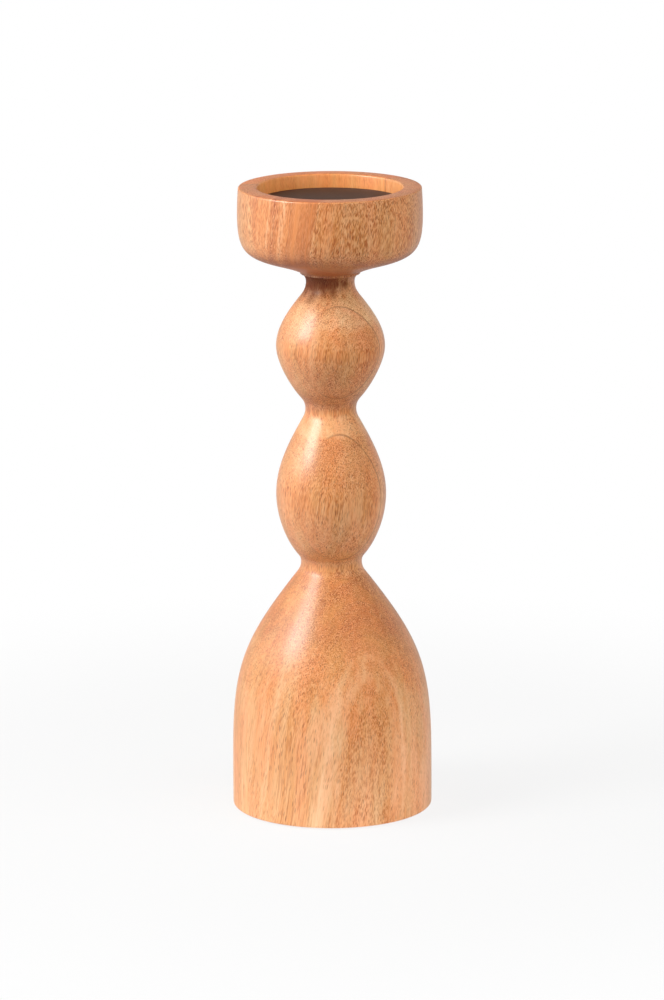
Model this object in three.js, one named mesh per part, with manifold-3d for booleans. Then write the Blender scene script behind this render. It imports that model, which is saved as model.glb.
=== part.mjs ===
// A pillar candlestick turned from a glued-up blank: bell base, two beads and a cup with a metal plate.
// The blank is a core board of the full height with a board glued to its front and one to its back.
// The necks are cut down into the core, so the turning leaves four cheeks of each of those two boards.
// Millimetres and degrees, +Z up, origin at the middle of the felt's underside, boards lying across Y.
import * as THREE from 'three';
import { mergeVertices } from 'three/addons/utils/BufferGeometryUtils.js';
import Module from 'manifold-3d';

// Blank
const CORE_THICKNESS = 35;
const GLUE_LINE = 0.3; // between the core and each board glued to it

// Felt under the base
const FELT_THICKNESS = 2;
const FELT_PROUD = 0.8; // how far the felt stands below the wood
const FELT_MARGIN = 8; // bare wood between the felt and the foot's edge
const FELT_GAP = 0.3; // radial room round the felt in its recess

// Bell base, from its foot up to the lower neck
const BELL_RADIUS = 52.3;
const BELL_WALL_HEIGHT = 26; // straight part of the wall
const BELL_HEIGHT = 130.8;
const BELL_FOOT_ROUND = 1;
const BELL_FLANK = 37.4;
const BELL_COVE = 9.6;
const BELL_PULL = 47.8;
const LOWER_NECK_RADIUS = 15.9;

// Lower bead: its half below the belly and its half above
const LOWER_BEAD_RADIUS = 28.7;
const LOWER_BEAD_BELOW = 36.4;
const LOWER_BEAD_BELOW_FLANK = 40.2;
const LOWER_BEAD_BELOW_COVE = 6;
const LOWER_BEAD_BELOW_PULL = 11.1;
const LOWER_BEAD_ABOVE = 45.4;
const LOWER_BEAD_ABOVE_FLANK = 28.8;
const LOWER_BEAD_ABOVE_COVE = 10.1;
const LOWER_BEAD_ABOVE_PULL = 14.7;
const WAIST_RADIUS = 13.25;

// Upper bead: its half below the belly and its half above
const UPPER_BEAD_RADIUS = 28.3;
const UPPER_BEAD_BELOW = 33.1;
const UPPER_BEAD_BELOW_FLANK = 41.6;
const UPPER_BEAD_BELOW_COVE = 8.6;
const UPPER_BEAD_BELOW_PULL = 8.4;
const UPPER_BEAD_ABOVE = 34;
const UPPER_BEAD_ABOVE_FLANK = 37.9;
const UPPER_BEAD_ABOVE_COVE = 11;
const UPPER_BEAD_ABOVE_PULL = 10.1;
const UPPER_NECK_RADIUS = 12.6;
const UPPER_NECK_COVE = 5.2; // the neck flares out again under the cup
const UPPER_NECK_FLARE = 54;

// Cup, from the end of the neck's flare up to its rim
const CUP_HEIGHT = 45.3;
const CUP_STEP = 0.9; // small square step turned where the cup meets the neck
const CUP_STEP_HEIGHT = 1;
const CUP_STEP_ROUND = 0.3;
const CUP_FLANK = 66;
const CUP_PULL = 26;
const CUP_UPRIGHT = 14.6; // height of the upright wall below the rim
const RIM_DRAW = 0.5; // how far the wall leans in again at the rim
const RIM_WIDTH = 10.3; // wall between the recess and the widest part of the cup
const RIM_OUTER_ROUND = 0.8;
const RIM_INNER_ROUND = 0.8;
const RECESS_RADIUS = 37.7;
const RECESS_DEPTH = 7; // rim to the top of the plate

// Candle plate
const PLATE_THICKNESS = 1.5;
const PLATE_GAP = 0.5; // radial room to lift the plate out
const PLATE_EDGE = 0.3;

// Facets
const ROUND_STEPS = 48;
const COVE_STEPS = 3;
const BEAD_STEPS = 8; // along the swell of each half bead
const WIDE_STEPS = 12; // along the longer swells of the bell and the cup
const EDGE_STEPS = 3;

// Radii that follow from the sizes above
const neckFlare = THREE.MathUtils.degToRad(UPPER_NECK_FLARE);
const flareRadius = UPPER_NECK_RADIUS + UPPER_NECK_COVE * (1 - Math.cos(neckFlare));
const cupRadius = RECESS_RADIUS + RIM_WIDTH;
const feltRadius = BELL_RADIUS - FELT_MARGIN;

// Heights from the table up
const footZ = FELT_PROUD;
const lowerNeckZ = footZ + BELL_HEIGHT;
const lowerBellyZ = lowerNeckZ + LOWER_BEAD_BELOW;
const waistZ = lowerBellyZ + LOWER_BEAD_ABOVE;
const upperBellyZ = waistZ + UPPER_BEAD_BELOW;
const upperNeckZ = upperBellyZ + UPPER_BEAD_ABOVE;
const cupZ = upperNeckZ + UPPER_NECK_COVE * Math.sin(neckFlare);
const rimZ = cupZ + CUP_HEIGHT;
const recessFloorZ = rimZ - RECESS_DEPTH - PLATE_THICKNESS;

const at = (radius, height) => new THREE.Vector2(radius, height);
const raised = (points, height) => points.map((p) => at(p.x, p.y + height));
const hung = (points, height) => points.map((p) => at(p.x, height - p.y)).reverse();

// A rounded edge, as the arc of a circle from one angle to another.
function edgeRound(radius, height, round, fromDegrees, toDegrees) {
  const from = THREE.MathUtils.degToRad(fromDegrees);
  const to = THREE.MathUtils.degToRad(toDegrees);
  return new THREE.EllipseCurve(radius, height, round, round, from, to, to < from).getPoints(EDGE_STEPS);
}

// The swell from a point out to an upright belly. It leaves at the flank angle, measured from the axis,
// and both of its handles have the pull's length.
function swell(start, flank, pull, belly, steps) {
  const angle = THREE.MathUtils.degToRad(flank);
  const leave = at(start.x + pull * Math.sin(angle), start.y + pull * Math.cos(angle));
  const arrive = at(belly.x, belly.y - pull);
  return new THREE.CubicBezierCurve(start, leave, arrive, belly).getPoints(steps);
}

// Half of a bead or bell, from its neck at height 0 to its belly: a hollow cove, then a swell.
function turnedHalf(neckRadius, bellyRadius, height, flank, cove, pull, steps = BEAD_STEPS) {
  const away = Math.PI - THREE.MathUtils.degToRad(flank);
  const hollow = new THREE.EllipseCurve(neckRadius + cove, 0, cove, cove, Math.PI, away, true);
  const swelling = swell(hollow.getPoint(1), flank, pull, at(bellyRadius, height), steps);
  return [...hollow.getPoints(COVE_STEPS), ...swelling.slice(1)];
}

// The bell's outside, from the rounded edge of its foot up to the lower neck.
function bellOutline() {
  const shoulder = turnedHalf(LOWER_NECK_RADIUS, BELL_RADIUS, BELL_HEIGHT - BELL_WALL_HEIGHT,
    BELL_FLANK, BELL_COVE, BELL_PULL, WIDE_STEPS);
  const footRound = edgeRound(BELL_RADIUS - BELL_FOOT_ROUND, BELL_FOOT_ROUND, BELL_FOOT_ROUND, -90, 0);
  return [...raised(footRound, footZ), ...hung(shoulder, lowerNeckZ)];
}

// The outside of both beads, from the lower neck to the upper one.
function beadOutline() {
  const lowerBelow = turnedHalf(LOWER_NECK_RADIUS, LOWER_BEAD_RADIUS, LOWER_BEAD_BELOW,
    LOWER_BEAD_BELOW_FLANK, LOWER_BEAD_BELOW_COVE, LOWER_BEAD_BELOW_PULL);
  const lowerAbove = turnedHalf(WAIST_RADIUS, LOWER_BEAD_RADIUS, LOWER_BEAD_ABOVE,
    LOWER_BEAD_ABOVE_FLANK, LOWER_BEAD_ABOVE_COVE, LOWER_BEAD_ABOVE_PULL);
  const upperBelow = turnedHalf(WAIST_RADIUS, UPPER_BEAD_RADIUS, UPPER_BEAD_BELOW,
    UPPER_BEAD_BELOW_FLANK, UPPER_BEAD_BELOW_COVE, UPPER_BEAD_BELOW_PULL);
  const upperAbove = turnedHalf(UPPER_NECK_RADIUS, UPPER_BEAD_RADIUS, UPPER_BEAD_ABOVE,
    UPPER_BEAD_ABOVE_FLANK, UPPER_BEAD_ABOVE_COVE, UPPER_BEAD_ABOVE_PULL);
  return [
    ...raised(lowerBelow, lowerNeckZ),
    ...hung(lowerAbove, waistZ).slice(1),
    ...raised(upperBelow, waistZ).slice(1),
    ...hung(upperAbove, upperNeckZ).slice(1),
  ];
}

// The cup's outside, from the flare of the upper neck over the rim and down to the recess.
function cupOutline() {
  const flare = new THREE.EllipseCurve(UPPER_NECK_RADIUS + UPPER_NECK_COVE, upperNeckZ,
    UPPER_NECK_COVE, UPPER_NECK_COVE, Math.PI, Math.PI - neckFlare, true);
  const stepRadius = flareRadius + CUP_STEP;
  const stepRound = edgeRound(stepRadius - CUP_STEP_ROUND, cupZ + CUP_STEP_ROUND, CUP_STEP_ROUND, -90, 0);
  const widest = at(cupRadius, rimZ - CUP_UPRIGHT);
  const rimEdge = at(cupRadius - RIM_DRAW, rimZ - RIM_OUTER_ROUND);
  const lean = at(cupRadius, (widest.y + rimEdge.y) / 2);
  const wall = new THREE.QuadraticBezierCurve(widest, lean, rimEdge);
  return [
    ...flare.getPoints(COVE_STEPS),
    ...stepRound,
    ...swell(at(stepRadius, cupZ + CUP_STEP_HEIGHT), CUP_FLANK, CUP_PULL, widest, WIDE_STEPS),
    ...wall.getPoints(EDGE_STEPS).slice(1),
    ...edgeRound(rimEdge.x - RIM_OUTER_ROUND, rimEdge.y, RIM_OUTER_ROUND, 0, 90).slice(1),
    ...edgeRound(RECESS_RADIUS + RIM_INNER_ROUND, rimZ - RIM_INNER_ROUND, RIM_INNER_ROUND, 90, 180),
  ];
}

// A turned solid from an outline that starts and ends on the axis.
function turned(outline) {
  return new THREE.LatheGeometry(outline, ROUND_STEPS).rotateX(Math.PI / 2);
}

// The whole turning, with the felt's recess below and the plate's recess above.
function turnedBlank() {
  const feltRecessRadius = feltRadius + FELT_GAP;
  return turned([
    at(0, FELT_THICKNESS),
    at(feltRecessRadius, FELT_THICKNESS),
    at(feltRecessRadius, footZ),
    ...bellOutline(),
    ...beadOutline().slice(1),
    ...cupOutline().slice(1),
    at(RECESS_RADIUS, recessFloorZ),
    at(0, recessFloorZ),
  ]);
}

const wasm = await Module();
wasm.setup();

// A closed three.js geometry as a solid that can be cut.
function solidOf(geometry) {
  const bare = geometry.clone();
  bare.deleteAttribute('normal');
  bare.deleteAttribute('uv');
  const merged = mergeVertices(bare);
  const corners = merged.index.array;
  const triVerts = [];
  for (let i = 0; i < corners.length; i += 3) {
    const [a, b, c] = corners.subarray(i, i + 3);
    const flat = a === b || b === c || c === a; // slivers where the outline meets the axis
    if (!flat) triVerts.push(a, b, c);
  }
  return new wasm.Manifold(new wasm.Mesh({
    numProp: 3,
    vertProperties: merged.attributes.position.array,
    triVerts: new Uint32Array(triVerts),
  }));
}

// A cut solid as a three.js geometry again, with flat faces.
function geometryOf(solid) {
  const { vertProperties, triVerts } = solid.getMesh();
  const geometry = new THREE.BufferGeometry();
  geometry.setAttribute('position', new THREE.BufferAttribute(vertProperties, 3));
  geometry.setIndex(new THREE.BufferAttribute(triVerts, 1));
  const faceted = geometry.toNonIndexed();
  faceted.computeVertexNormals();
  return faceted;
}

const turning = solidOf(turnedBlank());
const blankReach = BELL_RADIUS + cupRadius; // past every turned surface
const coreFace = CORE_THICKNESS / 2;
const cheekFace = coreFace + GLUE_LINE;

// What the turning leaves of a block of the blank, from one depth to another and one height to another.
function leftOf(fromY, toY, fromZ, toZ) {
  const block = new THREE.BoxGeometry(2 * blankReach, toY - fromY, toZ - fromZ);
  block.translate(0, (fromY + toY) / 2, (fromZ + toZ) / 2);
  return geometryOf(turning.intersect(solidOf(block)));
}

// The plate is a flat disc with a broken edge, and lies on the recess's floor at height 0.
function candlePlate() {
  const radius = RECESS_RADIUS - PLATE_GAP;
  return turned([
    at(0, 0),
    at(radius - PLATE_EDGE, 0),
    at(radius, PLATE_EDGE),
    at(radius, PLATE_THICKNESS - PLATE_EDGE),
    at(radius - PLATE_EDGE, PLATE_THICKNESS),
    at(0, PLATE_THICKNESS),
  ]);
}

// The felt is a plain disc that stands on height 0.
function feltPad() {
  return turned([at(0, 0), at(feltRadius, 0), at(feltRadius, FELT_THICKNESS), at(0, FELT_THICKNESS)]);
}

const wood = () => new THREE.MeshStandardMaterial({ color: 0xd8925e, roughness: 0.42, metalness: 0 });
const darkMetal = () => new THREE.MeshStandardMaterial({ color: 0x4a3a32, roughness: 0.5, metalness: 0.6 });
const felt = () => new THREE.MeshStandardMaterial({ color: 0x3a302a, roughness: 0.95, metalness: 0 });

const candlestick = new THREE.Group();

function place(name, geometry, material, height = 0) {
  const mesh = new THREE.Mesh(geometry, material);
  mesh.name = name;
  mesh.position.z = height;
  candlestick.add(mesh);
}

// The necks part the front and back boards into a cheek for each turned form.
const aboveRim = rimZ + RECESS_DEPTH;
const cheeks = [
  ['bell', 0, lowerNeckZ],
  ['lower_bead', lowerNeckZ, waistZ],
  ['upper_bead', waistZ, upperNeckZ],
  ['cup', upperNeckZ, aboveRim],
];

place('core_board', leftOf(-coreFace, coreFace, 0, aboveRim), wood());
for (const [form, fromZ, toZ] of cheeks) {
  place(`${form}_front`, leftOf(-blankReach, -cheekFace, fromZ, toZ), wood());
  place(`${form}_back`, leftOf(cheekFace, blankReach, fromZ, toZ), wood());
}
place('candle_plate', candlePlate(), darkMetal(), recessFloorZ);
place('felt_pad', feltPad(), felt());

export default candlestick;
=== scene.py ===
import math
from types import SimpleNamespace

import bmesh
import bpy
from mathutils import Matrix, Vector

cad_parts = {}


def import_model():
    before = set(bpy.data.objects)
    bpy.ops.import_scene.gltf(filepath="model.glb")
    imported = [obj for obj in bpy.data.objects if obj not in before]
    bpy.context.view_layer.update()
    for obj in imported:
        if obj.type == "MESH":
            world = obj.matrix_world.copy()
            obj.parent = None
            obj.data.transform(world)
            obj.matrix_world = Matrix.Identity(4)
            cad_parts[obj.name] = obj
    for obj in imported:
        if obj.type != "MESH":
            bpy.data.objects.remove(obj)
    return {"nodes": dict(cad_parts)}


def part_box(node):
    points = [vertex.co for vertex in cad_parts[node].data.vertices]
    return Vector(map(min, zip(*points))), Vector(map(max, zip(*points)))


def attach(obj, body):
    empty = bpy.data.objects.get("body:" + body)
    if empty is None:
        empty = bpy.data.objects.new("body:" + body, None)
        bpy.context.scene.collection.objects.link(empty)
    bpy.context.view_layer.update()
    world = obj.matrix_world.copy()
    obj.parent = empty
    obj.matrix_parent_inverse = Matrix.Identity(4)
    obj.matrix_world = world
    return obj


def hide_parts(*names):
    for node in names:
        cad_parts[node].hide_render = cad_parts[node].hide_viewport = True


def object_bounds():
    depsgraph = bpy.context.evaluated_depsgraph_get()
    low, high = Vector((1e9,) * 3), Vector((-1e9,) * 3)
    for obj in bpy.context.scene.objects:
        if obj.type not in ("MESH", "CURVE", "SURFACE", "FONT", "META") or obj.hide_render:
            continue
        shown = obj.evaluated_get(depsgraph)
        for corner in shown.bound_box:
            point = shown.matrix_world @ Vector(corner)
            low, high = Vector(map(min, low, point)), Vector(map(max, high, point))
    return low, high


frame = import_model()
cad_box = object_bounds()

# Lengths in metres and angles in degrees, apart from the wood's figure, which is in millimetres
MM = 0.001
SAME = 1e-6

# Camera: its place and lens come from the ellipses of the rim and the foot in the photograph
CAMERA_TURN = -12.5
CAMERA_DISTANCE = 2.875
CAMERA_HEIGHT = 0.838
CAMERA_PITCH = 13.193
CAMERA_ROLL = -0.25
CAMERA_SHIFT = 0.0008
SENSOR = 36.0
FOCAL_PIXELS = 5655.0
PHOTO_LONG_SIDE = 1000.0

# Meshes
ROUND_STEPS = 160
ROW_HEIGHT = 0.9 * MM
STRETCH_TURN = 24.0
STRETCH_RATIO = 3.0
SHARP_EDGE = 38.0
CHEEK_MARGIN = 2 * MM
EDGE_STEPS = 5
PLATE_EDGE = 0.3 * MM
FELT_EDGE = 0.4 * MM

# Sizes of the wood's figure: two ways across the grain, then along it
SWAY = (55, 55, 75)
RAGGED_HEART = (5, 5, 30)
LINE_GAPS = (9, 9, 30)
PATCHES = (16, 16, 60)
STREAKS = (2.8, 2.8, 90)
FIBRES = (0.9, 0.9, 30)
HUES = (9, 9, 45)
RIBBON_SWAY = (3, 3, 20)
RIBBON_GAPS = (1.2, 1.2, 9)
SHORT_FLECKS = (0.35, 0.35, 3.2)
LONG_FLECKS = (0.34, 0.34, 18.0)
WAIST_EDGE = (6, 6, 9)
# Size of the uneven edge of the painted shadow under the cup
SHADOW_EDGE = (5, 5, 9)
GLUE_GAPS = (9, 9, 14)

# Steps that set two noises of the same board apart
SWAY_APART = (0, 0, 400)
HUES_APART = (70, 20, 90)
FINE_RINGS_APART = 300.0

# Zones of the wood: the middle, how far from it the zone ends, and how far from it the zone is still full
PALE_LAYER = (6.0, 7.5, 2.0)
PALE_LINE = (7.0, 2.2, 0.4)
SHOULDER = (112.0, 25.0, 8.0)
# Painted shade on the underside of the cup
SHADE_UNDER_CUP = (10.0, 11.0, 4.0)
# Painted light on the top of the upper bead, below the cup
BEAD_TOP_LIGHT = (-14.0, 10.0, 4.0)
WAIST_SHADE = (5.0, 8.0, 3.0)
WAIST_LIGHT = (-8.0, 7.0, 3.0)

# Zones round a middle that each board gives
POROUS_REACH = (22.0, 8.0)
GLUE_REACH = (0.42, 0.12)
RIBBON_WIDTHS = (1.2, 3.0, 1.5)
RIBBON_CORE = 0.2
NO_RIBBONS = (500, 500, 500)

# Edges of zones: where a change starts and where it is full, by height, place across, or distance
# Heights where the painted light towards the foot starts and where it is full
FOOT_LIGHT_TOP = (95.0, 45.0)
LONG_FLECKS_TOP = (95.0, 60.0)
LEG_TOP = (92.0, 66.0)
LEG_SIDE = (20.0, 4.0)
LACQUER_RISE = (70.0, 100.0)
FLECK_RISE = (100.0, 250.0)
GLUE_RISE = (110.0, 150.0)
GLUE_SIDE = (-20.0, 20.0)
STEM_START = (120.0, 140.0)
# Side edge of the painted light on the upper bead's top
UPPER_BEAD_START = (6.0, 22.0)
BEAD_TOP_LIGHT_SIDE = (-12.0, 2.0)
CUP_START = (-4.0, 0.0)
RECESS_START = (18.0, 22.0)
RECESS_WALL = (0.6, 0.1)
# Edges of the painted shadow under the cup: its top, its side and its reach
SHADOW_TOP = (4.6, 3.8)
SHADOW_SIDE = (-2.0, 9.0)
SHADOW_REACH = (9.5, 2.5)
HEART_EDGE = (2.5, -4.0)
FINE_RINGS_OUT = (45.0, 80.0)
OUTER_EDGE = 2.0
CLEAR_EDGE = 8.0

# How far noise pushes an edge or the grain
SWAY_ACROSS = 6.0
SWAY_DEEP = 4.0
HEART_PUSH = 7.0
RIBBON_PUSH = 3.0
WAIST_PUSH = 8.0
# How far noise pushes the edge of the painted shadow under the cup
SHADOW_PUSH = 14.0
GLUE_PUSH = 60.0

# Slants of the surface, from 0 on an upright face to 1 on a level one
END_GRAIN_SLANT = (0.1, 0.95)
UPRIGHT_SLANT = (0.6, 0.2)
LEVEL_SLANT = (0.9, 1.0)

# Shares of one mark in another
FINE_RING_WIDTH = 0.24
STREAKS_TO_FIBRES = 1.7
BRIGHT_TO_DIM = 0.5
RECESS_CALM = -0.7

# How much paler or darker than the middle tone each mark makes the wood
MIDDLE_TONE = 0.5
TONE_OF = {
    # painted light from the floor: paler towards the foot
    "foot": 0.16,
    "shoulder": -0.2,
    "outer": -0.15,
    # painted shade under the cup
    "painted_shade_under_cup": -0.5,
    # painted light on the top of the upper bead
    "painted_light_bead_top": 0.4,
    "waist_shade": -0.22,
    "waist_light": 0.2,
    "patches": 0.5,
    "ribbons": 0.42,
    "heart": -0.1,
    "pale_layer": 0.25,
    "pale_line": 0.16,
}

# What the marks add to the roughness, the relief, the crowd of flecks and the flecks' contrast
ROUGH_WOOD = 0.47
ROUGHNESS_OF = {"patches": 0.16, "specks": 0.04, "pores": 0.2, "end_grain": 0.15, "painted_shadow": 0.35}
RELIEF_OF = {"fibres": 0.25, "specks": 0.8, "pores": -1.0, "glue_line": -0.6}
CROWD_OF = {"heart": 0.3, "pale_layer": -0.18, "clear": -0.55}
CONTRAST_OF = {"painted_light_bead_top": 0.5, "waist_light": -0.35}

# Sockets of the board grain, by their kind
GRAIN_INPUTS = {
    "Vector": ("Shift", "Pith", "Lean", "Pale Rings"),
    "Float": ("Heart", "Porous", "Ring Width", "Rings", "Streaks", "Flecks", "Pores", "Glue Depth",
              "Hollow Height", "Waist Height", "Recess Radius"),
    # The painted shadow under the cup multiplies the wood by the colour given as Painted Shadow
    "Color": ("Dark", "Middle", "Pale", "Blush", "Straw", "Fleck", "Painted Shadow", "Pore Color"),
}
GRAIN_OUTPUTS = {"Color": ("Color",), "Float": ("Roughness", "Lacquer", "Height")}

# Studio
FLOOR_RADIUS = 0.5
FLOOR_SIDES = 96
FLOOR_GREY = 0.7
FLOOR_SEEN = 0.15
FLOOR_GLOW = 0.5
GLOW_RADIUS = 0.13
SKY_LIGHT = 0.1

FORMS = ("bell", "lower_bead", "upper_bead", "cup")


def link(obj):
    bpy.context.scene.collection.objects.link(obj)
    return obj


def unit(turn, rise):
    """The direction from the candlestick to something at that turn from its front and that rise."""
    a = math.radians(turn)
    e = math.radians(rise)
    return Vector((math.sin(a) * math.cos(e), -math.cos(a) * math.cos(e), math.sin(e)))


# Outline of the turning

def core_outline():
    """(radius, height) of the felt's recess, up the outside, and over the rim down to the plate's floor.

    All are read from the core board's edge towards +X.
    """
    board = frame["nodes"]["core_board"].data
    edge = [v.co for v in board.vertices if abs(v.co.y) < SAME and v.co.x > SAME]
    side = {(round(p.x, 7), round(p.z, 7)) for p in edge}
    plate_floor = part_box("candle_plate")[0].z
    felt_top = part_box("felt_pad")[1].z
    rim = max(z for r, z in side)
    rim_radii = [r for r, z in side if z > rim - SAME]
    rim_middle = (min(rim_radii) + max(rim_radii)) / 2
    outside = [(r, z) for r, z in side if r > rim_middle or z < plate_floor - SAME]
    inside = [(r, z) for r, z in side if r < rim_middle and z > plate_floor - SAME]
    foot = min(z for r, z in outside)
    felt_edge = min(r for r, z in outside if z < foot + SAME)
    outside = [(r, z) for r, z in outside if z < foot + SAME or z > felt_top or r > felt_edge + SAME]
    outside.sort(key=lambda p: (p[1], p[0]))
    inside.sort(key=lambda p: (-p[1], -p[0]))
    felt_recess = [(0.0, felt_top), (felt_edge, felt_top)]
    return felt_recess, outside, inside + [(0.0, plate_floor)]


def stretches(points):
    """The outline parted where it turns a corner or its spacing jumps."""
    parts = [[points[0]]]
    for i in range(1, len(points) - 1):
        before = Vector(points[i]) - Vector(points[i - 1])
        after = Vector(points[i + 1]) - Vector(points[i])
        parts[-1].append(points[i])
        ratio = max(before.length, after.length) / min(before.length, after.length)
        corner = math.degrees(before.angle(after)) > STRETCH_TURN
        if corner or ratio > STRETCH_RATIO:
            parts.append([points[i]])
    parts[-1].append(points[-1])
    return parts


def slope(points, i):
    """Direction of a smooth curve through the points, at point i, from it and its two nearest neighbours."""
    first = min(max(i - 1, 0), len(points) - 3)
    a, b, c = (Vector(p) for p in points[first:first + 3])
    near_length = (b - a).length
    far_length = (c - b).length
    start = (b - a) / near_length
    end = (c - b) / far_length
    bend = (end - start) / (near_length + far_length)
    at = {first: -near_length, first + 1: 0.0, first + 2: far_length}[i]
    return start + bend * (near_length + 2 * at)


def faired(points):
    """The outline with more points, on a smooth curve through the given ones."""
    out = [points[0]]
    for part in stretches(points):
        for i in range(len(part) - 1):
            a = Vector(part[i])
            b = Vector(part[i + 1])
            chord = (b - a).length
            steps = max(1, math.ceil(chord / ROW_HEIGHT)) if len(part) > 2 else 1
            if steps == 1:
                out.append(tuple(b))
                continue
            leave = slope(part, i) * chord
            arrive = slope(part, i + 1) * chord
            for k in range(1, steps + 1):
                t = k / steps
                p = (a * (2 * t ** 3 - 3 * t ** 2 + 1) + leave * (t ** 3 - 2 * t ** 2 + t)
                     + b * (3 * t ** 2 - 2 * t ** 3) + arrive * (t ** 3 - t ** 2))
                out.append(tuple(p))
    return out


# Turned pieces

def lathe(outline):
    """A closed turned mesh from an outline of (radius, height) that starts and ends on the axis."""
    mesh = bmesh.new()
    rings = []
    for radius, height in outline:
        if radius < SAME:
            rings.append([mesh.verts.new((0, 0, height))])
            continue
        ring = []
        for k in range(ROUND_STEPS):
            angle = 2 * math.pi * k / ROUND_STEPS
            ring.append(mesh.verts.new((radius * math.cos(angle), radius * math.sin(angle), height)))
        rings.append(ring)
    for low, high in zip(rings, rings[1:]):
        for k in range(ROUND_STEPS):
            n = (k + 1) % ROUND_STEPS
            corners = [low[k % len(low)], low[n % len(low)], high[n % len(high)], high[k % len(high)]]
            mesh.faces.new(list(dict.fromkeys(corners)))
    bmesh.ops.recalc_face_normals(mesh, faces=mesh.faces)
    return mesh


def saw(mesh, y, keep):
    """Cuts the mesh at that depth and keeps its part towards keep, where -1 is the front."""
    geometry = mesh.verts[:] + mesh.edges[:] + mesh.faces[:]
    bmesh.ops.bisect_plane(mesh, geom=geometry, dist=SAME, plane_co=(0, y, 0), plane_no=(0, keep, 0),
                           clear_inner=True)


def close_cuts(mesh):
    """Fills the sawn faces and marks their edges as sharp."""
    rims = [e for e in mesh.edges if e.is_boundary]
    bmesh.ops.edgeloop_fill(mesh, edges=rims)
    for edge in rims:
        edge.smooth = False
    bmesh.ops.recalc_face_normals(mesh, faces=mesh.faces)


def finished(mesh, name):
    """The mesh as an object, smooth but for its sharp edges."""
    for face in mesh.faces:
        face.smooth = True
    for edge in mesh.edges:
        if edge.calc_face_angle(0) > math.radians(SHARP_EDGE):
            edge.smooth = False
    data = bpy.data.meshes.new(name)
    mesh.to_mesh(data)
    mesh.free()
    return link(bpy.data.objects.new(name, data))


def stand_in(obj, node, body, material):
    """The piece takes the node's place, moves with the body and has the slot's finish."""
    obj.data.materials.append(material)
    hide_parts(node)
    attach(obj, body)
    return obj


def seam_depth():
    """Where the pieces meet: half way through the glue line of the boards."""
    core_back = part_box("core_board")[1].y
    cheek_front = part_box("bell_back")[0].y
    return (core_back + cheek_front) / 2


def boards(outline, materials):
    """The turning, sawn into its core board and the cheeks in front of it and behind it."""
    depth = seam_depth()
    core = lathe(outline)
    saw(core, -depth, 1)
    saw(core, depth, -1)
    close_cuts(core)
    stand_in(finished(core, "core_board_wood"), "core_board", "stand", materials["core"])
    for side, keep in (("front", -1), ("back", 1)):
        for form in FORMS:
            node = f"{form}_{side}"
            low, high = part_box(node)
            start = low.z - CHEEK_MARGIN
            end = high.z + CHEEK_MARGIN
            cheek = lathe(outline)
            saw(cheek, keep * depth, keep)
            far = [v for v in cheek.verts if not start < v.co.z < end]
            bmesh.ops.delete(cheek, geom=far, context="VERTS")
            close_cuts(cheek)
            stand_in(finished(cheek, f"{node}_wood"), node, "stand", materials[side])


# Shader building blocks

def add(tree, kind, inputs=None, **settings):
    """A node of that kind with its settings, and with a value or a link on each named input."""
    made = tree.nodes.new("ShaderNode" + kind)
    for name, value in settings.items():
        setattr(made, name, value)
    for name, value in (inputs or {}).items():
        if isinstance(value, bpy.types.NodeSocket):
            tree.links.new(value, made.inputs[name])
        else:
            made.inputs[name].default_value = value
    return made


def calc(tree, operation, a, b=0.0, c=0.0, clamp=False):
    return add(tree, "Math", {0: a, 1: b, 2: c}, operation=operation, use_clamp=clamp).outputs[0]


def times(tree, first, *others):
    """All the values multiplied together."""
    product = first
    for other in others:
        product = calc(tree, "MULTIPLY", product, other)
    return product


def without(tree, share):
    """What the share leaves of 1."""
    return calc(tree, "SUBTRACT", 1.0, share)


def weighed(tree, start, parts):
    """The start value plus each part times its weight."""
    total = start
    for part, weight in parts:
        total = calc(tree, "MULTIPLY_ADD", part, weight, total)
    return total


def weighed_marks(tree, start, mark, weights):
    """The start value plus each named mark times its weight."""
    return weighed(tree, start, [(mark[name], weight) for name, weight in weights.items()])


def move(tree, operation, a, b):
    return add(tree, "VectorMath", {0: a, 1: b}, operation=operation).outputs[0]


def level_length(tree, vector):
    """Length of the vector as seen from above."""
    level = move(tree, "MULTIPLY", vector, (1, 1, 0))
    return add(tree, "VectorMath", {0: level}, operation="LENGTH").outputs["Value"]


def in_millimetres(tree):
    """The place on the piece, in millimetres from the middle of the candlestick's foot."""
    return move(tree, "MULTIPLY", add(tree, "TexCoord").outputs["Object"], (1000, 1000, 1000))


def mix(tree, factor, a, b, blend="MIX"):
    return add(tree, "Mix", {0: factor, 6: a, 7: b}, data_type="RGBA", blend_type=blend).outputs[2]


def fade(tree, value, start, end, low=0.0, high=1.0):
    """Goes smoothly from low to high as the value goes from start to end."""
    inputs = {"Value": value, "From Min": start, "From Max": end, "To Min": low, "To Max": high}
    return add(tree, "MapRange", inputs, interpolation_type="SMOOTHSTEP").outputs[0]


def near(tree, value, zone, low=0.0, high=1.0):
    """High near the zone's middle and low outside it."""
    middle, end, full = zone
    off = calc(tree, "ABSOLUTE", calc(tree, "SUBTRACT", value, middle))
    return fade(tree, off, end, full, low, high)


def noise(tree, place, size, detail=2.0, rough=0.5):
    """Noise around 0, from -0.5 to 0.5, whose features have that size (x, y, z) in the place's units."""
    scaled = move(tree, "DIVIDE", place, size)
    made = add(tree, "TexNoise", {"Vector": scaled, "Scale": 1.0, "Detail": detail, "Roughness": rough})
    return calc(tree, "SUBTRACT", made.outputs[0], 0.5)


def bands(tree, distance, width, detail=1.0):
    """Uneven layers around 0, each about that wide."""
    along = calc(tree, "DIVIDE", distance, width)
    made = add(tree, "TexNoise", {"W": along, "Scale": 1.0, "Detail": detail}, noise_dimensions="1D")
    return calc(tree, "SUBTRACT", made.outputs[0], 0.5)


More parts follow.
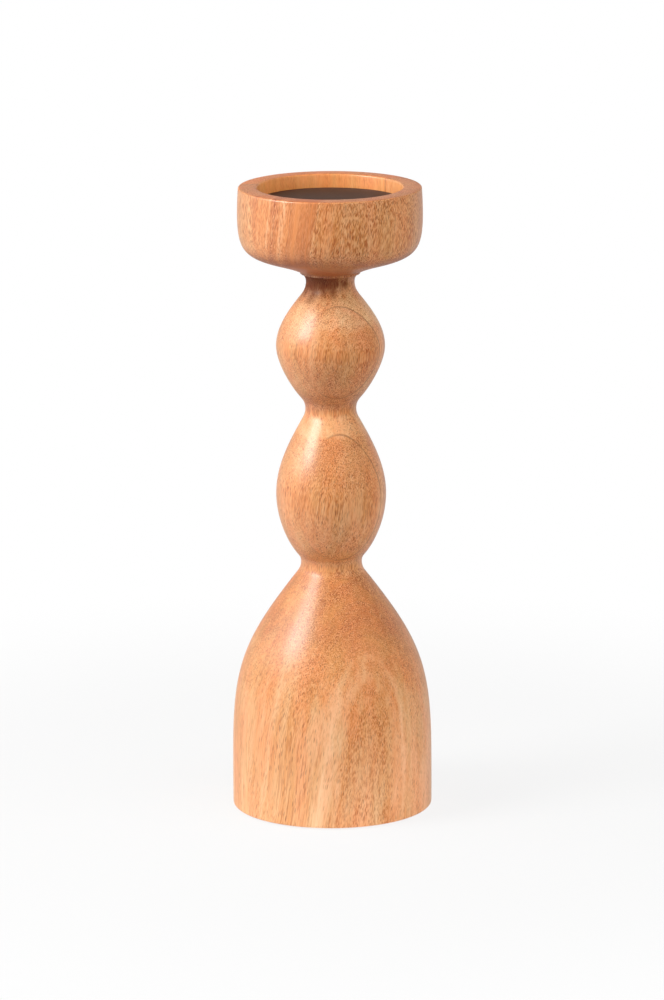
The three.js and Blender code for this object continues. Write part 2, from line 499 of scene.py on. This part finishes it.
def vessels(tree, place, spacing, length, thick, thin):
    """A mask of short pores along the grain, some strong and some hardly there."""
    scaled = move(tree, "DIVIDE", place, (spacing, spacing, length))
    cells = add(tree, "TexVoronoi", {"Vector": scaled, "Scale": 1.0})
    inside = fade(tree, cells.outputs["Distance"], thick, thin)
    chance = add(tree, "SeparateColor", {0: cells.outputs["Color"]}).outputs[0]
    return times(tree, inside, fade(tree, chance, 0.0, 1.0, low=0.45))


def new_group(name, inputs, outputs):
    """An empty node group with those sockets, and its input and output nodes."""
    group = bpy.data.node_groups.new(name, "ShaderNodeTree")
    for side, sockets in (("INPUT", inputs), ("OUTPUT", outputs)):
        for kind, labels in sockets.items():
            for label in labels:
                group.interface.new_socket(label, in_out=side, socket_type="NodeSocket" + kind)
    return group, group.nodes.new("NodeGroupInput").outputs, group.nodes.new("NodeGroupOutput").inputs


# Grain of the boards

def board_place(tree, given):
    """Where a point lies: in the turning, in its board's figure, along its grain and out from the pith."""
    place = in_millimetres(tree)
    x, y, z = add(tree, "SeparateXYZ", {0: place}).outputs
    board = move(tree, "ADD", place, given["Shift"])
    sway_x = times(tree, noise(tree, board, SWAY, detail=1.0), SWAY_ACROSS)
    apart = move(tree, "ADD", board, SWAY_APART)
    sway_y = times(tree, noise(tree, apart, SWAY, detail=1.0), SWAY_DEEP)
    sway = add(tree, "CombineXYZ", {0: sway_x, 1: sway_y}).outputs[0]
    lean = add(tree, "VectorMath", {0: given["Lean"], "Scale": z}, operation="SCALE").outputs[0]
    grain = move(tree, "SUBTRACT", move(tree, "ADD", board, sway), lean)
    pith = move(tree, "ADD", given["Pith"], lean)
    from_pith = level_length(tree, move(tree, "SUBTRACT", move(tree, "ADD", place, sway), pith))
    return SimpleNamespace(place=place, x=x, y=y, z=z, board=board, grain=grain, from_pith=from_pith)


def growth_marks(tree, given, at):
    """The growth rings, the heart, the pale layer and pale line round it, and streaks along the grain."""
    fine_width = times(tree, given["Ring Width"], FINE_RING_WIDTH)
    fine = bands(tree, calc(tree, "ADD", at.from_pith, FINE_RINGS_APART), fine_width)
    fine_share = fade(tree, at.from_pith, *FINE_RINGS_OUT, low=0.25, high=0.9)
    wide = bands(tree, at.from_pith, given["Ring Width"])
    ragged = times(tree, noise(tree, at.board, RAGGED_HEART), HEART_PUSH)
    from_heart = calc(tree, "ADD", calc(tree, "SUBTRACT", at.from_pith, given["Heart"]), ragged)
    to_left = fade(tree, at.x, *LEG_SIDE, low=0.25)
    low_down = fade(tree, at.z, *LEG_TOP, low=0.2)
    unbroken = fade(tree, noise(tree, at.board, LINE_GAPS), -0.15, 0.15, low=0.45)
    return {
        "fine": fine,
        "rings": calc(tree, "MULTIPLY_ADD", fine, fine_share, wide),
        "heart": fade(tree, from_heart, *HEART_EDGE),
        "pale_layer": times(tree, near(tree, from_heart, PALE_LAYER), to_left, low_down),
        "pale_line": times(tree, near(tree, from_heart, PALE_LINE), unbroken),
        "patches": noise(tree, at.grain, PATCHES),
        "fibres": noise(tree, at.grain, FIBRES, rough=0.6),
        "streaks": noise(tree, at.grain, STREAKS),
    }


def form_marks(tree, given, at):
    """Masks by the height and slope of the turned form, counted from the foot or from one of the necks. Three
    of them carry painted light and shade: paler towards the foot, painted shade under the cup, and painted
    light on the upper bead's top.
    """
    over_hollow = calc(tree, "SUBTRACT", at.z, given["Hollow Height"])
    over_waist = calc(tree, "SUBTRACT", at.z, given["Waist Height"])
    over_waist = calc(tree, "MULTIPLY_ADD", noise(tree, at.place, WAIST_EDGE), WAIST_PUSH, over_waist)
    upward = add(tree, "SeparateXYZ", {0: add(tree, "NewGeometry").outputs["True Normal"]}).outputs[2]
    slant = calc(tree, "ABSOLUTE", upward)
    to_right = fade(tree, at.x, *BEAD_TOP_LIGHT_SIDE, low=0.3)
    return {
        "over_hollow": over_hollow,
        "over_waist": over_waist,
        "upward": upward,
        "slant": slant,
        "end_grain": fade(tree, slant, *END_GRAIN_SLANT),
        "in_cup": fade(tree, over_hollow, *CUP_START),
        # painted light from the floor, paler towards the foot
        "foot": fade(tree, at.z, *FOOT_LIGHT_TOP),
        "shoulder": near(tree, at.z, SHOULDER),
        "painted_shade_under_cup": near(tree, over_hollow, SHADE_UNDER_CUP),
        "painted_light_bead_top": times(tree, near(tree, over_hollow, BEAD_TOP_LIGHT), to_right),
        "waist_shade": near(tree, over_waist, WAIST_SHADE),
        "waist_light": near(tree, over_waist, WAIST_LIGHT),
    }


def cup_marks(tree, given, at, mark):
    """The cup's pale ribbons, the orange wood outside the first of them, and its part with few flecks."""
    rings = add(tree, "SeparateXYZ", {0: given["Pale Rings"]}).outputs
    first = rings[0]
    second = rings[1]
    swaying = calc(tree, "MULTIPLY_ADD", noise(tree, at.board, RIBBON_SWAY), RIBBON_PUSH, at.from_pith)
    ribbons = 0.0
    for ring, width in zip(rings, RIBBON_WIDTHS):
        ribbon = near(tree, swaying, (ring, width, RIBBON_CORE * width))
        ribbons = calc(tree, "MAXIMUM", ribbons, ribbon)
    unbroken = fade(tree, noise(tree, at.board, RIBBON_GAPS, detail=3.0), -0.15, 0.12)
    outside_first = fade(tree, swaying, first, calc(tree, "ADD", first, OUTER_EDGE))
    inside_second = fade(tree, swaying, second, calc(tree, "SUBTRACT", second, CLEAR_EDGE))
    outer = times(tree, outside_first, mark["in_cup"])
    return {
        "ribbons": times(tree, ribbons, unbroken, mark["in_cup"]),
        "outer": outer,
        "clear": times(tree, outer, inside_second),
    }


def fleck_crowd(tree, given, at, mark):
    """How thickly flecks and pores stand: most in the porous rings and in the heart, least in the recess."""
    crowd = fade(tree, calc(tree, "ADD", mark["fine"], mark["patches"]), -0.25, 0.25, low=1.2, high=0.6)
    porous = near(tree, at.from_pith, (given["Porous"], *POROUS_REACH), low=0.85, high=1.25)
    crowd = weighed_marks(tree, times(tree, crowd, porous), mark, CROWD_OF)
    off_wall = calc(tree, "SUBTRACT", level_length(tree, at.place), given["Recess Radius"])
    over_floor = fade(tree, mark["over_hollow"], *RECESS_START)
    in_recess = times(tree, fade(tree, off_wall, *RECESS_WALL), over_floor)
    return times(tree, crowd, weighed(tree, 1.0, [(in_recess, RECESS_CALM)]))


def long_grained(tree, at, mark):
    """Where flecks are drawn out: on the foot, on upright faces of the beads and on top of the lower one."""
    on_foot = times(tree, without(tree, mark["heart"]), fade(tree, at.z, *LONG_FLECKS_TOP, high=0.8))
    upright = fade(tree, mark["slant"], *UPRIGHT_SLANT, high=0.6)
    on_beads = times(tree, upright, without(tree, mark["in_cup"]), fade(tree, at.z, *STEM_START))
    on_bead_top = times(tree, mark["waist_light"], 0.85)
    return calc(tree, "MAXIMUM", calc(tree, "MAXIMUM", on_foot, on_beads), on_bead_top)


def fleck_marks(tree, given, at, mark):
    """Flecks around 0, how strongly they show, and the pores among them."""
    crowd = fleck_crowd(tree, given, at, mark)
    drawn_out = long_grained(tree, at, mark)
    short = noise(tree, at.grain, SHORT_FLECKS, detail=1.0)
    long = noise(tree, at.grain, LONG_FLECKS, detail=1.0)
    by_height = fade(tree, at.z, *FLECK_RISE, low=0.58, high=0.9)
    by_length = fade(tree, drawn_out, 0.6, 0.8, low=1.0, high=0.75)
    by_form = weighed_marks(tree, 1.0, mark, CONTRAST_OF)
    contrast = times(tree, crowd, by_height, by_length, by_form)
    pores = vessels(tree, at.grain, spacing=1.0, length=6.0, thick=0.36, thin=0.16)
    return {
        "specks": weighed(tree, short, [(calc(tree, "SUBTRACT", long, short), drawn_out)]),
        "contrast": calc(tree, "MULTIPLY", contrast, given["Flecks"], clamp=True),
        "pores": calc(tree, "MULTIPLY", times(tree, pores, crowd), given["Pores"], clamp=True),
    }


def painted_neck_shadow(tree, at, mark):
    """The dark painted shadow of the cup in the hollow under it, which thins out towards the right."""
    off_hollow = calc(tree, "ABSOLUTE", mark["over_hollow"])
    blotch = calc(tree, "MULTIPLY_ADD", noise(tree, at.place, SHADOW_EDGE), SHADOW_PUSH, off_hollow)
    blotch = calc(tree, "ADD", blotch, fade(tree, at.x, *SHADOW_SIDE, high=7.0))
    below_cup = fade(tree, mark["over_hollow"], *SHADOW_TOP)
    return times(tree, fade(tree, blotch, *SHADOW_REACH, high=0.9), below_cup)


def glue_line(tree, given, at):
    """The line where two boards meet, clearer towards the right and above the bell."""
    depth = calc(tree, "ABSOLUTE", at.y)
    uneven = calc(tree, "MULTIPLY_ADD", noise(tree, at.place, GLUE_GAPS), GLUE_PUSH, at.x)
    to_right = fade(tree, uneven, *GLUE_SIDE, low=0.12, high=0.6)
    over_bell = fade(tree, at.z, *GLUE_RISE, low=0.2)
    return times(tree, near(tree, depth, (given["Glue Depth"], *GLUE_REACH)), to_right, over_bell)


def plain_colour(tree, given, at, mark):
    """The wood's colour before its flecks: tones from dark to pale, a drift of hue, darker end grain."""
    tone = weighed_marks(tree, MIDDLE_TONE, mark, TONE_OF)
    streak_weight = times(tree, given["Streaks"], STREAKS_TO_FIBRES)
    tone = weighed(tree, tone, [
        (mark["rings"], given["Rings"]),
        (mark["fibres"], given["Streaks"]),
        (mark["streaks"], streak_weight),
    ])
    lower_half = calc(tree, "MULTIPLY", tone, 2.0, clamp=True)
    upper_half = calc(tree, "MULTIPLY_ADD", tone, 2.0, -1.0, clamp=True)
    colour = mix(tree, upper_half, mix(tree, lower_half, given["Dark"], given["Middle"]), given["Pale"])
    hue = fade(tree, noise(tree, move(tree, "ADD", at.board, HUES_APART), HUES), -0.2, 0.2)
    hue = times(tree, hue, without(tree, mark["outer"]))
    colour = mix(tree, 1.0, colour, mix(tree, hue, given["Blush"], given["Straw"]), "MULTIPLY")
    level_top = fade(tree, mark["upward"], *LEVEL_SLANT, low=0.03, high=0.44)
    return mix(tree, times(tree, mark["end_grain"], level_top), colour, given["Dark"], "MULTIPLY")


def marked_colour(tree, given, mark, colour):
    """The colour with its flecks, pores, painted shadow under the cup and glue line."""
    dim = times(tree, fade(tree, mark["specks"], 0.0, -0.12), mark["contrast"])
    bright = times(tree, fade(tree, mark["specks"], 0.0, 0.13), mark["contrast"], BRIGHT_TO_DIM)
    colour = mix(tree, dim, colour, given["Fleck"], "MULTIPLY")
    colour = mix(tree, bright, colour, given["Pale"])
    colour = mix(tree, mark["pores"], colour, given["Pore Color"])
    colour = mix(tree, mark["painted_shadow"], colour, given["Painted Shadow"], "MULTIPLY")
    return mix(tree, mark["glue_line"], colour, given["Pore Color"])


def lacquer_share(tree, at, mark):
    """How full the lacquer is: thinner on the foot, the upper bead, end grain and the painted shadow under
    the cup.
    """
    over_foot = fade(tree, at.z, *LACQUER_RISE, low=0.5, high=0.72)
    on_upper_bead = fade(tree, mark["over_waist"], *UPPER_BEAD_START, low=1.0, high=0.9)
    on_end_grain = fade(tree, mark["end_grain"], 0.0, 1.0, low=1.0, high=0.6)
    return times(tree, over_foot, on_upper_bead, on_end_grain, without(tree, mark["painted_shadow"]))


def board_grain():
    """Grain of a sawn board, solid through the wood."""
    tree, given, out = new_group("board_grain", GRAIN_INPUTS, GRAIN_OUTPUTS)
    at = board_place(tree, given)
    mark = growth_marks(tree, given, at)
    mark.update(form_marks(tree, given, at))
    mark.update(cup_marks(tree, given, at, mark))
    mark.update(fleck_marks(tree, given, at, mark))
    mark["painted_shadow"] = painted_neck_shadow(tree, at, mark)
    mark["glue_line"] = glue_line(tree, given, at)
    colour = marked_colour(tree, given, mark, plain_colour(tree, given, at, mark))
    tree.links.new(colour, out["Color"])
    tree.links.new(weighed_marks(tree, ROUGH_WOOD, mark, ROUGHNESS_OF), out["Roughness"])
    tree.links.new(lacquer_share(tree, at, mark), out["Lacquer"])
    tree.links.new(weighed_marks(tree, 0.0, mark, RELIEF_OF), out["Height"])
    return tree


# Materials

def shader(name):
    """A new material, its node tree and its Principled shader."""
    material = bpy.data.materials.new(name)
    material.use_nodes = True
    tree = material.node_tree
    return material, tree, tree.nodes["Principled BSDF"]


def srgb(red, green, blue):
    """A colour given as screen values from 0 to 255."""
    def linear(level):
        level /= 255
        return level / 12.92 if level <= 0.04045 else ((level + 0.055) / 1.055) ** 2.4
    return (linear(red), linear(green), linear(blue), 1.0)


def bumped(tree, surface, height, strength, distance):
    """Gives the surface a relief from that height."""
    bump = add(tree, "Bump", {"Height": height, "Strength": strength, "Distance": distance})
    tree.links.new(bump.outputs[0], surface.inputs["Normal"])


def narrowest(outside, under, over):
    """Height of the narrowest place of the outline between two cheeks."""
    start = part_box(under)[1].z
    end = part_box(over)[0].z
    return min(p for p in outside if start < p[1] < end)[1]


def turning_sizes(outside, inside):
    """The sizes of the turning that its grain goes by, in millimetres."""
    plate_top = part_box("candle_plate")[1].z
    return {
        "Glue Depth": seam_depth() / MM,
        "Hollow Height": narrowest(outside, "upper_bead_front", "cup_front") / MM,
        "Waist Height": narrowest(outside, "lower_bead_front", "upper_bead_front") / MM,
        "Recess Radius": max(r for r, z in inside if z < plate_top) / MM,
    }


def lacquered_board(name, group, figure):
    """Wood of one board under a satin lacquer."""
    material, tree, surface = shader(name)
    wood = add(tree, "Group", figure, node_tree=group)
    tree.links.new(wood.outputs["Color"], surface.inputs["Base Color"])
    tree.links.new(wood.outputs["Roughness"], surface.inputs["Roughness"])
    tree.links.new(wood.outputs["Lacquer"], surface.inputs["Coat Weight"])
    bumped(tree, surface, wood.outputs["Height"], strength=0.12, distance=0.3 * MM)
    surface.inputs["Specular IOR Level"].default_value = 0.5
    surface.inputs["Coat Roughness"].default_value = 0.29
    surface.inputs["Coat IOR"].default_value = 1.6
    return material


def wood_materials(sizes):
    """The finishes of the three boards, which differ in their tones and in where their pith lies."""
    group = board_grain()
    honey = {
        "Dark": srgb(190, 105, 45),
        "Middle": srgb(228, 149, 81),
        "Pale": srgb(250, 200, 150),
        "Blush": (1.035, 0.945, 0.95, 1.0),
        "Straw": (0.945, 1.005, 1.01, 1.0),
        "Fleck": srgb(202, 158, 112),
        # Colour of the painted shadow of the cup on the neck
        "Painted Shadow": srgb(152, 114, 98),
        "Pore Color": srgb(134, 66, 22),
    }
    paler = dict(honey, Middle=srgb(234, 157, 91), Pale=srgb(252, 203, 148))
    richer = dict(honey, Dark=srgb(212, 124, 58), Middle=srgb(244, 158, 86), Pale=srgb(252, 190, 126))
    front = {
        "Shift": (12, 40, 7), "Pith": (4.6, -62.7, 0), "Lean": (0.123, -0.086, 0),
        "Heart": 22.0, "Pale Rings": (76, 95, 103.5), "Porous": 50.0, "Ring Width": 8.0,
        "Rings": 0.3, "Streaks": 0.3, "Flecks": 1.1, "Pores": 0.5,
    }
    core = {
        "Shift": (345, 130, 210), "Pith": (-60, -25, 0), "Lean": (0.03, 0, 0),
        "Heart": -50.0, "Pale Rings": NO_RIBBONS, "Porous": 75.0, "Ring Width": 8.0,
        "Rings": 0.3, "Streaks": 0.36, "Flecks": 1.4, "Pores": 0.5,
    }
    back = {
        "Shift": (-150, 230, 170), "Pith": (14, 66, 0), "Lean": (-0.08, 0.05, 0),
        "Heart": 20.0, "Pale Rings": NO_RIBBONS, "Porous": 62.0, "Ring Width": 7.5,
        "Rings": 0.3, "Streaks": 0.45, "Flecks": 0.9, "Pores": 0.4,
    }
    return {
        "front": lacquered_board("front_board", group, {**sizes, **honey, **front}),
        "core": lacquered_board("core_board", group, {**sizes, **paler, **core}),
        "back": lacquered_board("back_board", group, {**sizes, **richer, **back}),
    }


def painted_plate():
    """Dark brown satin paint on a metal disc, with faint rubbed spots."""
    material, tree, surface = shader("dark_plate_paint")
    place = in_millimetres(tree)
    cloud = noise(tree, place, (22, 22, 22), detail=3.0)
    grit = noise(tree, place, (0.8, 0.8, 0.8))
    tone = calc(tree, "ADD", weighed(tree, 0.5, [(cloud, 0.7)]), times(tree, grit, 0.25), clamp=True)
    tree.links.new(mix(tree, tone, srgb(63, 44, 35), srgb(82, 61, 50)), surface.inputs["Base Color"])
    tree.links.new(weighed(tree, 0.6, [(cloud, 0.2)]), surface.inputs["Roughness"])
    bumped(tree, surface, grit, strength=0.1, distance=0.2 * MM)
    surface.inputs["Specular IOR Level"].default_value = 0.2
    return material


def pressed_felt():
    """Dark brown wool felt."""
    material, tree, surface = shader("brown_felt")
    place = in_millimetres(tree)
    curl = noise(tree, place, (0.5, 0.5, 0.5), detail=4.0, rough=0.7)
    tuft = noise(tree, place, (3.0, 3.0, 3.0), detail=3.0)
    tone = calc(tree, "ADD", weighed(tree, 0.5, [(curl, 1.1)]), tuft, clamp=True)
    tree.links.new(mix(tree, tone, srgb(44, 34, 28), srgb(78, 62, 52)), surface.inputs["Base Color"])
    bumped(tree, surface, curl, strength=0.6, distance=0.4 * MM)
    surface.inputs["Roughness"].default_value = 0.95
    surface.inputs["Sheen Weight"].default_value = 0.4
    return material


# Plate and felt

def rounded_disc(name, node, edge):
    """A disc in the node's place with a rounded edge."""
    low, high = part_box(node)
    rows = [(0.0, low.z)]
    for middle, start in ((low.z + edge, -90), (high.z - edge, 0)):
        for k in range(EDGE_STEPS + 1):
            a = math.radians(start + 90 * k / EDGE_STEPS)
            rows.append((high.x - edge + edge * math.cos(a), middle + edge * math.sin(a)))
    rows.append((0.0, high.z))
    return finished(lathe(rows), name)


def candle_plate():
    disc = rounded_disc("painted_candle_plate", "candle_plate", PLATE_EDGE)
    stand_in(disc, "candle_plate", "plate", painted_plate())


def felt_pad():
    disc = rounded_disc("felt_disc", "felt_pad", FELT_EDGE)
    stand_in(disc, "felt_pad", "stand", pressed_felt())


# Studio

def camera():
    data = bpy.data.cameras.new("camera")
    data.sensor_width = SENSOR
    data.sensor_height = SENSOR
    data.lens = FOCAL_PIXELS * SENSOR / PHOTO_LONG_SIDE
    data.shift_x = CAMERA_SHIFT
    eye = link(bpy.data.objects.new("camera", data))
    eye.location = unit(CAMERA_TURN, 0) * CAMERA_DISTANCE + Vector((0, 0, CAMERA_HEIGHT))
    turn = Matrix.Rotation(math.radians(CAMERA_TURN), 4, "Z")
    pitch = Matrix.Rotation(math.radians(90 - CAMERA_PITCH), 4, "X")
    roll = Matrix.Rotation(math.radians(CAMERA_ROLL), 4, "Z")
    eye.rotation_euler = (turn @ pitch @ roll).to_euler()
    bpy.context.scene.camera = eye


def softbox(name, turn, rise, distance, width, height, watts, mirrored=True):
    """A soft light at that turn from the camera, aimed at the candlestick; gloss shows it if mirrored."""
    data = bpy.data.lights.new(name, "AREA")
    data.shape = "RECTANGLE"
    data.size = width
    data.size_y = height
    data.energy = watts
    lamp = link(bpy.data.objects.new(name, data))
    lamp.visible_glossy = mirrored
    middle = (cad_box[0] + cad_box[1]) / 2
    lamp.location = middle + unit(CAMERA_TURN + turn, rise) * distance
    lamp.rotation_euler = (middle - lamp.location).to_track_quat("-Z", "Y").to_euler()


def lamps():
    softbox("key", turn=-66, rise=39, distance=1.3, width=0.6, height=0.65, watts=13.5)
    softbox("left", turn=-86, rise=35, distance=1.3, width=1.3, height=1.2, watts=7)
    softbox("right", turn=50, rise=30, distance=1.5, width=2.2, height=1.5, watts=20, mirrored=False)


def seen_white(tree, mirrored=1.0):
    """1 for rays from the camera, and the mirrored share for rays off a glossy or clear surface."""
    path = add(tree, "LightPath").outputs
    sent_on = calc(tree, "MAXIMUM", path["Is Glossy Ray"], path["Is Transmission Ray"])
    return calc(tree, "MAXIMUM", path["Is Camera Ray"], times(tree, sent_on, mirrored))


def white_floor():
    """A pale round floor that fades into the background, seen thinly so that its shadow stays light."""
    mesh = bmesh.new()
    bmesh.ops.create_circle(mesh, cap_ends=True, segments=FLOOR_SIDES, radius=FLOOR_RADIUS)
    floor = finished(mesh, "floor")
    material, tree, surface = shader("pale_floor")
    surface.inputs["Base Color"].default_value = (FLOOR_GREY, FLOOR_GREY, FLOOR_GREY, 1)
    surface.inputs["Roughness"].default_value = 0.9
    surface.inputs["Specular IOR Level"].default_value = 0.0
    surface.inputs["Emission Strength"].default_value = 1.0
    place = add(tree, "TexCoord").outputs["Object"]
    away = add(tree, "VectorMath", {0: place}, operation="LENGTH").outputs["Value"]
    thin = fade(tree, away, 0.35 * FLOOR_RADIUS, 0.95 * FLOOR_RADIUS, FLOOR_SEEN, 0.0)
    solid = without(tree, seen_white(tree))
    tree.links.new(calc(tree, "MAXIMUM", solid, thin), surface.inputs["Alpha"])
    glow = times(tree, fade(tree, away, GLOW_RADIUS, 0.8 * GLOW_RADIUS, 0.0, FLOOR_GLOW), solid)
    glow_colour = add(tree, "CombineColor", {0: glow, 1: glow, 2: glow}).outputs[0]
    tree.links.new(glow_colour, surface.inputs["Emission Color"])
    floor.data.materials.append(material)


def world():
    """White to the camera. Gloss shows a white backdrop under a dim ceiling, and its own light is faint."""
    made = bpy.data.worlds.new("studio")
    bpy.context.scene.world = made
    made.use_nodes = True
    tree = made.node_tree
    background = tree.nodes["Background"]
    background.inputs["Color"].default_value = (1, 1, 1, 1)
    across, behind, upward = add(tree, "SeparateXYZ", {0: add(tree, "TexCoord").outputs["Generated"]}).outputs
    light = fade(tree, upward, -0.1, 0.3, 0.0, SKY_LIGHT)
    white_behind = fade(tree, behind, -0.3, 0.5, 0.2, 0.6)
    white_left = fade(tree, across, -0.2, -0.7)
    backdrop = fade(tree, upward, 0.75, 0.35, 0.0, calc(tree, "MAXIMUM", white_behind, white_left))
    strength = calc(tree, "MAXIMUM", light, seen_white(tree, backdrop))
    tree.links.new(strength, background.inputs["Strength"])


felt_recess, outside, inside = core_outline()
outline = felt_recess + faired(outside + inside[:-1]) + [inside[-1]]
boards(outline, wood_materials(turning_sizes(outside, inside)))
candle_plate()
felt_pad()
camera()
lamps()
white_floor()
world()
bpy.context.scene.view_settings.view_transform = "Standard"
